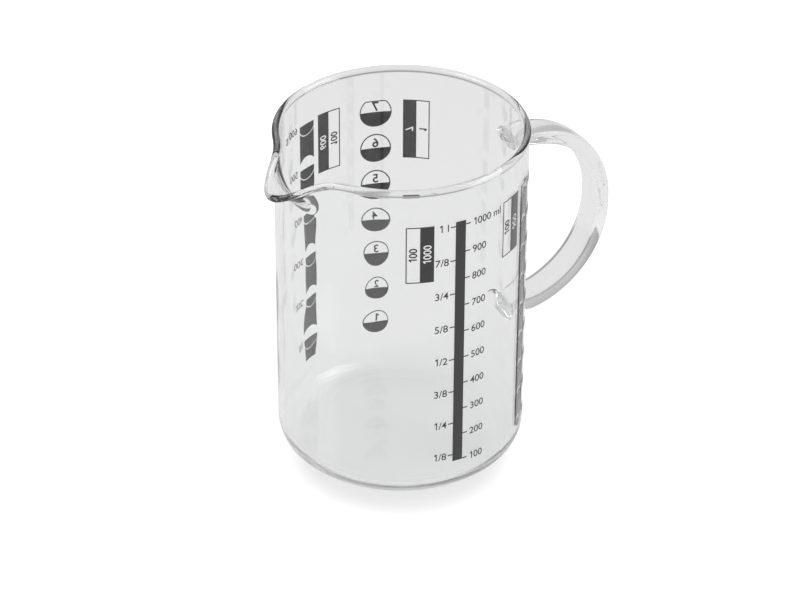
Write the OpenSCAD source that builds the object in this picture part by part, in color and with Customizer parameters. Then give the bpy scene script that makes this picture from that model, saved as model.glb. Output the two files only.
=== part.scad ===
// Glass measuring jug: a blown body with a pulled spout, a fused bow handle and prints fired
// on the outside. The origin is the middle of the base, on the body's axis, +Z is up and the
// handle points along +X. Angles go round the axis from the handle, rising to the right for
// someone who faces the print from outside.

/* [Body] */
// Outside diameter of the body
body_d = 104; // [92:1:130]
// Height from the base to the top of the rim
body_h = 149.7; // [144:0.1:180]
// Thickness of the wall
wall = 1.8; // [1.2:0.1:2.6]
// Thickness of the floor
floor_t = 3.3; // [2:0.1:5]
// Radius of the rounded edge outside, round the base
base_r = 10.4; // [7:0.1:14]
// Radius of the rounded edge inside, round the floor
floor_r = 8; // [5:0.1:11]
// Diameter of the bead round the rim
bead_d = 3.1; // [2.8:0.1:4.5]

/* [Spout] */
// Where the spout points, in degrees round from the handle
spout_angle = 187; // [170:1:190]
// Angle from the middle of the spout to where the rim is round again
spout_spread = 45; // [36:1:50]
// How far the lip reaches out past the round rim
spout_reach = 13.4; // [6:0.1:18]
// How far the lip dips below the round rim
spout_dip = 9.1; // [0:0.1:12]
// Height of the throat, from the rim down to where the wall is straight
spout_h = 20; // [17:0.5:34]

/* [Handle] */
// Width of the handle, across the bow
handle_w = 16.2; // [12:0.1:22]
// Thickness of the handle, in the plane of the bow
handle_t = 7.6; // [6:0.1:10]
// Depth of the upper foot's middle below the top of the rim
handle_drop = 20; // [14:0.5:26]
// Straight run from the wall to the upper bend
handle_stub = 4.8; // [2:0.1:12]
// Radius of the upper bend, at the middle of the handle
upper_bend_r = 38.8; // [30:0.1:44]
// Length of the straight grip between the bends
grip_h = 2.5; // [1:0.5:20]
// Radius of the lower bend, at the middle of the handle
lower_bend_r = 40.5; // [30:0.1:43]
// Width of the upper foot, where it is fused to the wall
upper_foot_w = 18.4; // [17:0.1:24]
// Thickness of the upper foot there
upper_foot_t = 9.8; // [8:0.1:14]
// Width of the lower foot, where it is fused to the wall
lower_foot_w = 24.6; // [17:0.1:28]
// Thickness of the lower foot there
lower_foot_t = 11.8; // [8:0.1:16]
// How far out of the wall the feet run into the handle's own oval
foot_run = 3.6; // [2:0.1:5]

/* [Print] */
// Depth of the prints' top line below the top of the rim
print_drop = 16.75; // [12:0.05:24]
// Height of the prints' bottom line
print_foot_z = 15.2; // [13:0.1:18]
// Thickness of the fired print
print_t = 0.1; // [0.05:0.01:0.3]
// Gap between the wall and the print
print_gap = 0.02; // [0.01:0.01:0.1]
// Width of the thin outlines
line_w = 0.45; // [0.2:0.05:1]
// Thickness of the marks beside the litre bar
mark_t = 0.5; // [0.3:0.05:1]
// Length of the marks beside the litre bar
mark_w = 2.2; // [1:0.1:4]

/* [Litre scale] */
// Angle of the bar's middle
litre_angle = -92.8; // [-100:0.1:-80]
// Width of the bar
litre_bar_w = 4.5; // [2:0.1:8]
// Height of the 100 ml mark above the prints' bottom line
litre_rise = 1.9; // [1:0.1:6]
// Length of the bar past the litre mark
litre_over = 2; // [1:0.1:4]

/* [Sugar and flour scales] */
// Angle of the sugar bar's middle
sugar_angle = -47; // [-60:0.1:-40]
// Angle of the flour bar's middle
flour_angle = 110.9; // [100:0.1:116]
// Width of the two bars
dry_bar_w = 9.1; // [6:0.1:11]
// Height of the first sugar mark above the prints' bottom line
sugar_rise = 0.8; // [0.6:0.1:2]
// Height of 100 g of sugar, as a share of the prints' height
sugar_share = 0.1202; // [0.11:0.0001:0.121]
// Radius of the sugar bar's half moons, as a share of the height of 100 g
sugar_moon_share = 0.2332; // [0.2:0.0001:0.3]
// Height of the first flour mark above the bottom line, as a share of the prints' height
flour_rise_share = 0.0909; // [0.08:0.0001:0.092]
// Height of 100 g of flour, as a share of the prints' height
flour_share = 0.18; // [0.16:0.0001:0.1806]
// Radius of the flour bar's half moons, as a share of the height of 100 g
flour_moon_share = 0.2642; // [0.22:0.0001:0.28]

/* [Cup marks] */
// Angle of the middle of the row of cups
cup_angle = 72.4; // [66:0.1:80]
// Height of the first cup's level line above the prints' bottom line, as a share of their height
cup_rise_share = 0.0645; // [0.06:0.0001:0.07]
// Height of one cup, as a share of the prints' height
cup_share = 0.1482; // [0.14:0.0001:0.149]
// Diameters of the first and the last cup, as shares of the height of one cup
first_cup_share = 0.6533; // [0.5:0.0001:0.75]
last_cup_share = 0.8023; // [0.6:0.0001:0.9]

/* [Label panels] */
// Width of a label panel
panel_w = 11.5; // [8:0.1:14]
// Height of the litre and sugar panels
front_panel_h = 26; // [15:0.5:34]
// Height of the cup and flour panels
back_panel_h = 28.2; // [15:0.1:34]
// Angle of the litre panel's middle
litre_panel_angle = -111.6; // [-120:0.1:-106]
// Angle of the sugar panel's middle
sugar_panel_angle = -61.8; // [-70:0.1:-60]
// Angle of the cup panel's middle
cup_panel_angle = 53; // [46:0.1:58]
// Angle of the flour panel's middle
flour_panel_angle = 96.7; // [88:0.1:97]

/* [Hidden] */
$fn = 120;

// Cuts run past the faces that they open by this much
over = 2;
// The spout's faces lie this much inside the round wall's, and its ends run this many degrees
// into it, so that the two fuse cleanly
sink = 0.1;
lap = 1;
// Steps of the spout round the rim, up the throat and round its bead (an odd count), of the
// handle's oval and of its feet
spout_steps = 30;
throat_steps = 6;
bead_steps = 9;
oval_steps = 32;
foot_steps = 4;
// How sharply the lip narrows, the share of that left at the throat's foot, how sharply the
// lip dips and how late the throat turns out
narrowing = 4.5;
foot_narrowing_share = 0.45;
dipping = 5;
flaring = 2.2;
// Marks on each scale
ml_marks = 10;
fraction_count = 8;
sugar_marks = 9;
flour_marks = 6;
cup_count = 7;

wall_r = body_d / 2;
cavity_r = wall_r - wall;
mid_r = wall_r - wall / 2;
bead_r = bead_d / 2;
bead_z = body_h - bead_r;
spout_foot_z = body_h - spout_h;
// The spout's own half thickness and bead, and the angle at which its wall runs into the bead,
// seen from the bead's middle
spout_half = wall / 2 - sink;
spout_bead_r = bead_r - sink;
bead_join = asin(spout_half / spout_bead_r);

upper_foot_z = body_h - handle_drop;
upper_bend_x = wall_r + handle_stub;
upper_bend_z = upper_foot_z - upper_bend_r;
grip_x = upper_bend_x + upper_bend_r;
lower_bend_x = grip_x - lower_bend_r;
lower_bend_z = upper_bend_z - grip_h;
lower_foot_z = lower_bend_z - lower_bend_r;

print_r = wall_r + print_gap;
print_top = body_h - print_drop;
print_h = print_top - print_foot_z;
litre_first_z = print_foot_z + litre_rise;
litre_last_z = print_top - litre_over;
litre_pitch = (litre_last_z - litre_first_z) / (ml_marks - 1);
fraction_pitch = litre_pitch * ml_marks / fraction_count;
sugar_first_z = print_foot_z + sugar_rise;
sugar_pitch = sugar_share * print_h;
flour_first_z = print_foot_z + flour_rise_share * print_h;
flour_pitch = flour_share * print_h;
sugar_moon_r = sugar_moon_share * sugar_pitch;
flour_moon_r = flour_moon_share * flour_pitch;
cup_first_z = print_foot_z + cup_rise_share * print_h;
cup_pitch = cup_share * print_h;
first_cup_d = first_cup_share * cup_pitch;
last_cup_d = last_cup_share * cup_pitch;

// Degrees round the wall for a width on it
function turn(w) = w / print_r * 180 / PI;

// From 1 in the middle of the spout down to 0 where the rim is round again
function bell(a) = (1 + cos(180 * a / spout_spread)) / 2;

// Share of the spout's reach, a share t of the way up the throat, and of its dip
function reach_share(a, t) =
    pow(bell(a), narrowing * (foot_narrowing_share + (1 - foot_narrowing_share) * t));
function dip_share(a) = pow(bell(a), dipping);

// The wall's middle line and about its direction, a share t of the way up the throat
function throat_rise(a) = bead_z - spout_dip * dip_share(a) - spout_foot_z;
function throat(a, t) = [
    mid_r + spout_reach * reach_share(a, t) * pow(t, flaring),
    spout_foot_z + t * throat_rise(a)
];
function throat_dir(a, t) =
    let (d = [spout_reach * reach_share(a, t) * flaring * pow(t, flaring - 1), throat_rise(a)])
    d / norm(d);

// A point beside the middle line: so far out of the wall's face and so far along it
function beside(a, t, out, along) =
    let (d = throat_dir(a, t))
    throat(a, t) + out * [d[1], -d[0]] + along * d;

// The closed outline of the wall and bead in the spout, at an angle from its middle
function spout_section(a) = concat(
    [beside(a, 0, spout_half, -over)],
    [for (k = [0 : throat_steps - 1]) beside(a, k / throat_steps, spout_half, 0)],
    [for (k = [0 : bead_steps])
        let (b = bead_join + k / bead_steps * (360 - 2 * bead_join))
        beside(a, 1, spout_bead_r * sin(b), -spout_bead_r * cos(b))],
    [for (k = [throat_steps - 1 : -1 : 0]) beside(a, k / throat_steps, -spout_half, 0)],
    [beside(a, 0, -spout_half, -over)]
);

// A solid joined through outlines of one even length. Each end is closed in strips, from the
// outline's first half across to its second.
module joined(rings) {
    n = len(rings[0]);
    end = (len(rings) - 1) * n;
    sides = [for (i = [0 : n : end - n], k = [0 : n - 1])
        let (a = i + k, b = i + (k + 1) % n)
        each [[a, b + n, a + n], [a, b, b + n]]];
    ends = [for (k = [0 : n / 2 - 2])
        let (a = k, b = k + 1, c = n - 2 - k, d = n - 1 - k)
        each [[a, d, c], [a, c, b], [end + a, end + c, end + d], [end + a, end + b, end + c]]];
    polyhedron([for (ring = rings, p = ring) p], [for (f = concat(sides, ends)) if (f[1] != f[2]) f]);
}

// A point of an outline, turned to its place round the axis
function placed(p, angle) = [p[0] * cos(angle), p[0] * sin(angle), p[1]];

module spout() {
    joined([for (i = [0 : spout_steps])
        let (a = (spout_spread + lap) * (2 * i / spout_steps - 1))
        [for (p = spout_section(a)) placed(p, spout_angle + a)]]);
}

// The room that the spout takes the place of in the round wall
module spout_room() {
    rotate([0, 0, spout_angle - spout_spread])
        rotate_extrude(angle = 2 * spout_spread)
            translate([cavity_r - over, spout_foot_z])
                square([wall + 2 * over, spout_h + over]);
}

// A filled outline that is round at its lower outer edge
module rounded_column(r, h, edge_r) {
    square([r - edge_r, h]);
    translate([0, edge_r]) square([r, h - edge_r]);
    translate([r - edge_r, edge_r]) circle(r = edge_r);
}

module round_wall() {
    rotate_extrude() {
        difference() {
            rounded_column(wall_r, bead_z, base_r);
            translate([0, floor_t]) rounded_column(cavity_r, body_h, floor_r);
        }
        translate([mid_r, bead_z]) circle(r = bead_r);
    }
}

module glass_body() {
    color("gainsboro") {
        difference() {
            round_wall();
            spout_room();
        }
        spout();
    }
}

// The handle's oval section: thickness along x, width along y
module handle_section() {
    polygon([for (i = [0 : oval_steps - 1])
        let (a = 360 * i / oval_steps)
        [handle_t / 2 * cos(a), handle_w / 2 * sin(a)]]);
}

// A quarter bend in the plane of the bow, from an angle on
module handle_bend(x, z, r, from) {
    translate([x, 0, z])
        rotate([90, 0, 0])
            rotate([0, 0, from])
                rotate_extrude(angle = 90) translate([r, 0]) handle_section();
}

// A straight run out of the axis to x, at height z
module handle_run(x, z) {
    translate([cavity_r, 0, z])
        rotate([0, 90, 0]) linear_extrude(x - cavity_r) handle_section();
}

// An oval across the handle, at a distance from the axis
function foot_ring(x, z, w, t) = [for (i = [0 : oval_steps - 1])
    let (a = 360 * i / oval_steps)
    [x, w / 2 * sin(a), z + t / 2 * cos(a)]];

// The flared end of the handle: as wide and thick as given up to the wall, then drawn in to
// just inside the handle's own oval
module handle_foot(z, w, t) {
    slim_w = handle_w - 2 * sink;
    slim_t = handle_t - 2 * sink;
    joined(concat(
        [foot_ring(cavity_r, z, w, t)],
        [for (i = [0 : foot_steps])
            let (share = pow(1 - i / foot_steps, 2))
            foot_ring(
                wall_r + i / foot_steps * foot_run, z,
                slim_w + share * (w - slim_w), slim_t + share * (t - slim_t)
            )]
    ));
}

module handle() {
    color("gainsboro") difference() {
        union() {
            handle_run(upper_bend_x, upper_foot_z);
            handle_bend(upper_bend_x, upper_bend_z, upper_bend_r, 0);
            translate([grip_x, 0, lower_bend_z]) linear_extrude(grip_h) handle_section();
            handle_bend(lower_bend_x, lower_bend_z, lower_bend_r, -90);
            handle_run(lower_bend_x, lower_foot_z);
            handle_foot(upper_foot_z, upper_foot_w, upper_foot_t);
            handle_foot(lower_foot_z, lower_foot_w, lower_foot_t);
        }
        cylinder(r = wall_r, h = body_h);
    }
}

// A piece of a shell round the axis, w wide on the wall, from height z0 up to z1
module shell_piece(angle, w, z0, z1, r, t) {
    rotate([0, 0, angle - turn(w) / 2])
        rotate_extrude(angle = turn(w))
            translate([r, z0]) square([t, z1 - z0]);
}

// A print on the wall, and a window through one
module patch(angle, w, z0, z1) {
    shell_piece(angle, w, z0, z1, print_r, print_t);
}

module window(angle, w, z0, z1) {
    shell_piece(angle, w, z0, z1, cavity_r, wall + print_gap + print_t + over);
}

// A flat shape stood against the wall from outside, through the print
module against_wall(angle, z) {
    rotate([0, 0, angle])
        translate([cavity_r, 0, z])
            rotate([90, 0, 90]) linear_extrude(wall + print_gap + print_t + over) children();
}

// Everything below, or above, a level line
module half_plane(r, side) {
    translate([-r, side > 0 ? 0 : -r]) square([2 * r, r]);
}

module litre_bar() {
    color("dimgray") patch(litre_angle, litre_bar_w, litre_first_z - mark_t / 2, print_top);
}

// A row of marks along one side of the litre bar
module litre_marks(count, pitch, side) {
    angle = litre_angle + side * turn(litre_bar_w + mark_w) / 2;
    color("dimgray") for (i = [0 : count - 1]) {
        z = litre_last_z - i * pitch;
        patch(angle, mark_w, z - mark_t / 2, z + mark_t / 2);
    }
}

module millilitre_marks() litre_marks(ml_marks, litre_pitch, 1);

module fraction_marks() litre_marks(fraction_count, fraction_pitch, -1);

// A label panel hung from the top line: the left half framed, the right half filled
module panel(angle, h) {
    foot = print_top - h;
    window_w = panel_w / 2 - line_w;
    color("dimgray") difference() {
        patch(angle, panel_w, foot, print_top);
        window(angle - turn(window_w) / 2, window_w, foot + line_w, print_top - line_w);
    }
}

module litre_panel() panel(litre_panel_angle, front_panel_h);

module sugar_panel() panel(sugar_panel_angle, front_panel_h);

module flour_panel() panel(flour_panel_angle, back_panel_h);

module cup_panel() panel(cup_panel_angle, back_panel_h);

// The clear part of a half moon: all of it above its level line, a thin arc below
module moon(r) {
    difference() {
        circle(r = r);
        intersection() {
            circle(r = r - line_w);
            half_plane(r, -1);
        }
    }
}

// A bar with a half moon left clear at each mark
module dry_bar(angle, first_z, pitch, count, moon_r) {
    color("dimgray") difference() {
        patch(angle, dry_bar_w, print_foot_z, print_top);
        for (i = [0 : count - 1]) against_wall(angle, first_z + i * pitch) moon(moon_r);
    }
}

module sugar_bar()
    dry_bar(sugar_angle, sugar_first_z, sugar_pitch, sugar_marks, sugar_moon_r);

module flour_bar()
    dry_bar(flour_angle, flour_first_z, flour_pitch, flour_marks, flour_moon_r);

// A cup mark: filled below its level line, a thin outline above
module cup(r) {
    difference() {
        circle(r = r);
        intersection() {
            circle(r = r - line_w);
            half_plane(r, 1);
        }
    }
}

module cup_marks() {
    color("dimgray") for (i = [0 : cup_count - 1]) {
        r = (first_cup_d + i / (cup_count - 1) * (last_cup_d - first_cup_d)) / 2;
        intersection() {
            patch(cup_angle, last_cup_d + first_cup_d, print_foot_z, print_top);
            against_wall(cup_angle, cup_first_z + i * cup_pitch) cup(r);
        }
    }
}

glass_body();
handle();
litre_bar();
millilitre_marks();
fraction_marks();
litre_panel();
sugar_bar();
sugar_panel();
flour_bar();
flour_panel();
cup_marks();
cup_panel();
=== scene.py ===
import math

import bmesh
import bpy
from mathutils import Matrix, Quaternion, Vector
from mathutils.geometry import delaunay_2d_cdt


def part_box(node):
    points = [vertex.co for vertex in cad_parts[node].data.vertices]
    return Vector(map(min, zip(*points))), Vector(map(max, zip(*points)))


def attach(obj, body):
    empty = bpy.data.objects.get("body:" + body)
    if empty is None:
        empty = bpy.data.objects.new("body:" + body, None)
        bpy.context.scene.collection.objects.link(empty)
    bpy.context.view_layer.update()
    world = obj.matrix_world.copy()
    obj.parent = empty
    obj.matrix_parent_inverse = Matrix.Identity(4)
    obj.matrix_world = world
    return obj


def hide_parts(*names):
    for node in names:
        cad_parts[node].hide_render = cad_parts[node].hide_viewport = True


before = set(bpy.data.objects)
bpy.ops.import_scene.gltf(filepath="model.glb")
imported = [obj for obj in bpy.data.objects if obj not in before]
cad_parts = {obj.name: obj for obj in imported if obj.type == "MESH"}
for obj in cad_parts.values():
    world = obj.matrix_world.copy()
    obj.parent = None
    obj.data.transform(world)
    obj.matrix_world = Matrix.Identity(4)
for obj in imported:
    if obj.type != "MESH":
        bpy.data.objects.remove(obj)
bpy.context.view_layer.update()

MM = 0.001

# Sizes of the body, in millimetres. Angles go round the axis from the handle, in degrees.
BODY_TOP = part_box("glass_body")[1][2] / MM
WALL_R = 52
WALL = 1.8
FLOOR_T = 3.3
BASE_R = 10.4
FLOOR_R = 8
PUSH_UP = 0.7
PUSH_UP_R = 38
BEAD_R = 1.55
BEAD_FILLET = 1.2
BEAD_Z = BODY_TOP - BEAD_R
MID_R = WALL_R - WALL / 2
CAVITY_R = WALL_R - WALL

# The fillets between the wall and the bead: how far their middles lie from the wall's middle
# line and below the bead's middle
FILLET_OUT = WALL / 2 + BEAD_FILLET
FILLET_DROP = math.sqrt((BEAD_R + BEAD_FILLET) ** 2 - FILLET_OUT ** 2)

# The spout: where it points, how far round it spreads, and how far its lip reaches and dips
SPOUT_ANGLE = 187
SPOUT_SPREAD = 45
SPOUT_REACH = 13.4
SPOUT_DIP = 9.1
SPOUT_FOOT_Z = BODY_TOP - 20
THROAT_H = BEAD_Z - SPOUT_FOOT_Z
# Powers of its curves: how sharply the lip narrows, how sharply the dip ends, and how the wall
# flares up the throat. The throat's foot keeps a share of the narrowing.
NARROWING = 4.5
FOOT_NARROWING = 0.45
DIPPING = 5.0
FLARING = 2.2

# Waves of the inner face: their depth, the angle where they are deepest, how fast they change
# round the wall and per metre of height, how far they keep to that side, and the share of them
# all round, at the floor's edge and on the floor
WAVINESS = 0.5
WAVE_ANGLE = -150
WAVES_ROUND = 2.2
WAVES_UP = 28
WAVE_FOCUS = 6
WAVES_ALL_ROUND = 0.25
WAVES_AT_EDGE = 0.6
WAVES_ON_FLOOR = 0.3

# Steps round the body and along its outline
BODY_AROUND = 288
FLOOR_STEPS = 12
EDGE_STEPS = 16
WALL_STEPS = 36
THROAT_STEPS = 22
BEAD_STEPS = 28
FILLET_STEPS = 6

# Sizes of the handle. A bend is the place and the radius of its middle line, a foot is its width
# and its thickness.
HANDLE_W = 14.4
HANDLE_T = 6.9
UPPER_BEND = (56.8, 90.9, 38.8)
LOWER_BEND = (55.1, 88.4, 40.5)
UPPER_FOOT = (16, 8.4)
LOWER_FOOT = (21.4, 10.6)
UPPER_FOOT_Z = UPPER_BEND[1] + UPPER_BEND[2]
LOWER_FOOT_Z = LOWER_BEND[1] - LOWER_BEND[2]
# How far a foot flares from the wall, how far the section is fitted to it, and how deep the ends
# are sunk into it
FOOT_RUN = 5
HUG_RUN = 9
FUSED = 0.5
# Powers of the handle's section: 1 for an oval, less for flatter faces
OUTER_ROUNDNESS = 0.55
INNER_ROUNDNESS = 0.45
# Steps round the handle, along each bend and each foot, and in the cap of each end
HANDLE_AROUND = 128
BEND_STEPS = 60
FOOT_STEPS = 16
CAP_STEPS = 5

# Sizes of the prints, which start just inside the wall's face
PRINT_R = 51.98
PRINT_T = 0.1
PRINT_TOP = 132.95
PRINT_FOOT = 15.2
LINE_W = 0.45
MARK_T = 0.5
MARK_W = 2.2
LITRE_ANGLE = -92.8
LITRE_BAR_W = 4.5
LITRE_MARKS = 10
LITRE_FIRST_Z = 17.1
LITRE_PITCH = 12.65
FRACTIONS = ("1/8", "1/4", "3/8", "1/2", "5/8", "3/4", "7/8", "1 l")
FRACTION_PITCH = LITRE_MARKS * LITRE_PITCH / len(FRACTIONS)
FRACTION_FIRST_Z = (
    LITRE_FIRST_Z + (LITRE_MARKS - 1) * LITRE_PITCH - (len(FRACTIONS) - 1) * FRACTION_PITCH
)
DRY_BAR_W = 9.1
SUGAR_ANGLE = -47
SUGAR_MARKS = 9
SUGAR_MOON_R = 3.3
SUGAR_FIRST_Z = 16
SUGAR_PITCH = 14.15
FLOUR_ANGLE = 110.9
FLOUR_MARKS = 6
FLOUR_MOON_R = 5.6
FLOUR_FIRST_Z = 25.9
FLOUR_PITCH = 21.2
CUP_ANGLE = 72.4
CUPS = 7
FIRST_CUP_R = 5.7
LAST_CUP_R = 7
CUP_GROWTH = (LAST_CUP_R / FIRST_CUP_R - 1) / (CUPS - 1)
CUP_FIRST_Z = 22.8
CUP_PITCH = 17.45
LAST_CUP_Z = CUP_FIRST_Z + (CUPS - 1) * CUP_PITCH
# The label panels: angle, height, and the least and the greatest number of the scale
PANEL_W = 11.5
PANELS = {
    "litre_panel": (-111.6, 26, "100", "1000"),
    "sugar_panel": (-61.8, 26, "100", "900"),
    "cup_panel": (53, 28.2, "1", "7"),
    "flour_panel": (96.7, 28.2, "100", "600"),
}
# The angle at which each scale's numbers start, or end where they stand on the bar's left
LITRE_FIGURES = -86.7
FRACTION_FIGURES = -98.3
SUGAR_FIGURES = -40.2
FLOUR_FIGURES = 118
DIGIT_H = 3.4
PANEL_DIGIT_H = 3.3
CUP_DIGIT_H = 3.7
# How high the middle of a cup's number stands over its level line, as a share of the number
CUP_FIGURE_RISE = 0.62
# How much bolder than the letters' own the thin and the bold numbers are
THIN = 0.01
BOLD = 0.035
# Widths of the strips that let flat shapes bend round the wall: for plain shapes, for the short
# marks and along curved edges
STRIP = 1.0
MARK_STRIP = 0.8
CURVE_STRIP = 0.2
# The angle from which the prints' edges are sharp
PRINT_CREASE = 40
# Steps round a cup's filled half, its clear half, and each side of a clear half that is cut
CUP_FILL_STEPS = 40
CUP_LINE_STEPS = 48
CUT_LINE_STEPS = 30

# Distances at which points are made one, in metres
SEAM = 1e-6
WELD = 1e-7


# Reckoning in node trees

class Term:
    """A number in a node tree, to be reckoned with like one in the script."""

    def __init__(self, tree, socket):
        self.tree, self.socket = tree, socket

    def by(self, operation, *others):
        node = self.tree.nodes.new("ShaderNodeMath")
        node.operation = operation
        for slot, value in zip(node.inputs, (self,) + others):
            set_input(self.tree, slot, value)
        return Term(self.tree, node.outputs[0])

    def __add__(self, other):
        return self.by("ADD", other)

    def __sub__(self, other):
        return self.by("SUBTRACT", other)

    def __mul__(self, other):
        return self.by("MULTIPLY", other)

    def __truediv__(self, other):
        return self.by("DIVIDE", other)

    def __pow__(self, other):
        return self.by("POWER", other)

    def __neg__(self):
        return self * -1

    __radd__, __rmul__ = __add__, __mul__

    def __rsub__(self, other):
        return -self + other


def set_input(tree, slot, value):
    """Gives a node's input a value, or links it to a socket or a term."""
    if isinstance(value, Term):
        value = value.socket
    if isinstance(value, bpy.types.NodeSocket):
        tree.links.new(value, slot)
    else:
        slot.default_value = value


def add_node(tree, kind, settings=None, **inputs):
    """A node with its settings, and its inputs by name, with _ for a space."""
    node = tree.nodes.new(kind)
    for name, value in (settings or {}).items():
        setattr(node, name, value)
    for name, value in inputs.items():
        set_input(tree, node.inputs[name.replace("_", " ")], value)
    return node


def combined(tree, x, y, z):
    return add_node(tree, "ShaderNodeCombineXYZ", X=x, Y=y, Z=z).outputs[0]


def separated(tree, vector):
    node = add_node(tree, "ShaderNodeSeparateXYZ", Vector=vector)
    return [Term(tree, socket) for socket in node.outputs]


SOCKETS = {"Geometry": "NodeSocketGeometry", "Material": "NodeSocketMaterial"}


def new_geometry_tree(name, *inputs):
    """A geometry tree and its input terms: the shape, the named numbers and the material."""
    tree = bpy.data.node_groups.new(name, "GeometryNodeTree")
    labels = ("Geometry", *inputs, "Material")
    for label in labels:
        tree.interface.new_socket(
            label, in_out="INPUT", socket_type=SOCKETS.get(label, "NodeSocketFloat")
        )
    tree.interface.new_socket("Geometry", in_out="OUTPUT", socket_type=SOCKETS["Geometry"])
    given = tree.nodes.new("NodeGroupInput")
    return tree, {label: Term(tree, given.outputs[label]) for label in labels}


def finish_tree(tree, shape, material):
    """Ends a geometry tree in real mesh with its material."""
    real = add_node(tree, "GeometryNodeRealizeInstances", Geometry=shape)
    dressed = add_node(
        tree, "GeometryNodeSetMaterial", Geometry=real.outputs[0], Material=material
    )
    out = tree.nodes.new("NodeGroupOutput")
    tree.links.new(dressed.outputs[0], out.inputs[0])


def attribute(tree, name):
    node = add_node(tree, "GeometryNodeInputNamedAttribute", {"data_type": "FLOAT"}, Name=name)
    return node.outputs["Attribute"]


def rows_grid(tree, rows, around):
    """A grid with one line of points for each of the rows, the share round each line, and a
    function that reads a row's attribute."""
    size = add_node(
        tree, "GeometryNodeAttributeDomainSize", {"component": "MESH"}, Geometry=rows
    )
    count = Term(tree, size.outputs["Point Count"])
    grid = add_node(
        tree, "GeometryNodeMeshGrid",
        Size_X=1.0, Size_Y=1.0, Vertices_X=around + 1, Vertices_Y=count
    )
    x, y, _ = separated(tree, tree.nodes.new("GeometryNodeInputPosition").outputs[0])
    row = ((y + 0.5) * (count - 1)).by("ROUND")

    def read(name):
        node = add_node(
            tree, "GeometryNodeSampleIndex", {"data_type": "FLOAT", "domain": "POINT"},
            Geometry=rows, Value=attribute(tree, name), Index=row
        )
        return Term(tree, node.outputs[0])

    return grid.outputs["Mesh"], x + 0.5, read


def joined_rows(tree, grid, position, material):
    """Puts the grid's points in place, and closes its seam and poles."""
    placed = add_node(tree, "GeometryNodeSetPosition", Geometry=grid, Position=position)
    closed = add_node(
        tree, "GeometryNodeMergeByDistance", Geometry=placed.outputs[0], Distance=SEAM
    )
    finish_tree(tree, closed.outputs[0], material)


def rows_mesh(name, rows):
    """A mesh with one point for each row, and the row's numbers as attributes."""
    mesh = bpy.data.meshes.new(name)
    mesh.from_pydata([(0, 0, i * MM) for i in range(len(rows))], [], [])
    for label in rows[0]:
        mesh.attributes.new(label, "FLOAT", "POINT").data.foreach_set(
            "value", [row[label] for row in rows]
        )
    return mesh


def grown(name, mesh, tree, material, **inputs):
    """A plain mesh piece: the tree's result on the given mesh."""
    source = bpy.data.objects.new(name + "_source", mesh)
    bpy.context.scene.collection.objects.link(source)
    modifier = source.modifiers.new(tree.name, "NODES")
    modifier.node_group = tree
    values = {label.replace("_", " "): value for label, value in inputs.items()}
    values["Material"] = material
    for item in tree.interface.items_tree:
        if item.in_out == "INPUT" and item.name in values:
            modifier[item.identifier] = values[item.name]
    seen = source.evaluated_get(bpy.context.evaluated_depsgraph_get())
    result = bpy.data.meshes.new_from_object(seen)
    source.modifiers.remove(modifier)
    bpy.data.objects.remove(source)
    return add_piece(name, result)


def add_piece(name, mesh):
    mesh.name = name
    piece = bpy.data.objects.new(name, mesh)
    bpy.context.scene.collection.objects.link(piece)
    return piece


def turn_outwards(mesh):
    """Makes the faces of a closed mesh point outwards."""
    bm = bmesh.new()
    bm.from_mesh(mesh)
    bmesh.ops.recalc_face_normals(bm, faces=bm.faces)
    bm.to_mesh(mesh)
    bm.free()


def smooth(mesh, angle=180):
    """Shades a mesh smooth, but for edges from the given angle on."""
    mesh.polygons.foreach_set("use_smooth", [True] * len(mesh.polygons))
    if angle < 180:
        mesh.set_sharp_from_angle(angle=math.radians(angle))


# Materials

def new_material(name):
    """A material with its tree, its surface shader and its output."""
    material = bpy.data.materials.new(name)
    material.use_nodes = True
    tree = material.node_tree
    tree.nodes.clear()
    shader = tree.nodes.new("ShaderNodeBsdfPrincipled")
    out = tree.nodes.new("ShaderNodeOutputMaterial")
    tree.links.new(shader.outputs[0], out.inputs["Surface"])
    return material, tree, shader, out


def unevenness_group():
    """Fine unevenness of a surface: a pattern from 0 to 1, and the normal that it leans."""
    tree = bpy.data.node_groups.new("surface_unevenness", "ShaderNodeTree")
    for label, value in (("Size", 1.0), ("Stretch", 1.0), ("Depth", 0.001), ("Detail", 2.0)):
        socket = tree.interface.new_socket(label, in_out="INPUT", socket_type="NodeSocketFloat")
        socket.default_value = value
    tree.interface.new_socket("Pattern", in_out="OUTPUT", socket_type="NodeSocketFloat")
    tree.interface.new_socket("Normal", in_out="OUTPUT", socket_type="NodeSocketVector")
    given = tree.nodes.new("NodeGroupInput")
    size = Term(tree, given.outputs["Size"])
    place = tree.nodes.new("ShaderNodeTexCoord").outputs["Object"]
    x, y, z = separated(tree, place)
    across = size ** -1.0
    along = across / Term(tree, given.outputs["Stretch"])
    pattern = add_node(
        tree, "ShaderNodeTexNoise", Vector=combined(tree, x * across, y * across, z * along),
        Scale=1.0, Detail=given.outputs["Detail"], Roughness=0.5
    )
    bump = add_node(
        tree, "ShaderNodeBump", Strength=1.0, Distance=given.outputs["Depth"],
        Height=pattern.outputs[0]
    )
    out = tree.nodes.new("NodeGroupOutput")
    tree.links.new(pattern.outputs[0], out.inputs["Pattern"])
    tree.links.new(bump.outputs[0], out.inputs["Normal"])
    return tree


def add_unevenness(tree, group, **inputs):
    node = tree.nodes.new("ShaderNodeGroup")
    node.node_tree = group
    for label, value in inputs.items():
        set_input(tree, node.inputs[label], value)
    return node


# How near the wall's outer face a point counts as on it, and how far inside it as sunk
ON_FACE = 0.2
SUNK = 0.002


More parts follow.
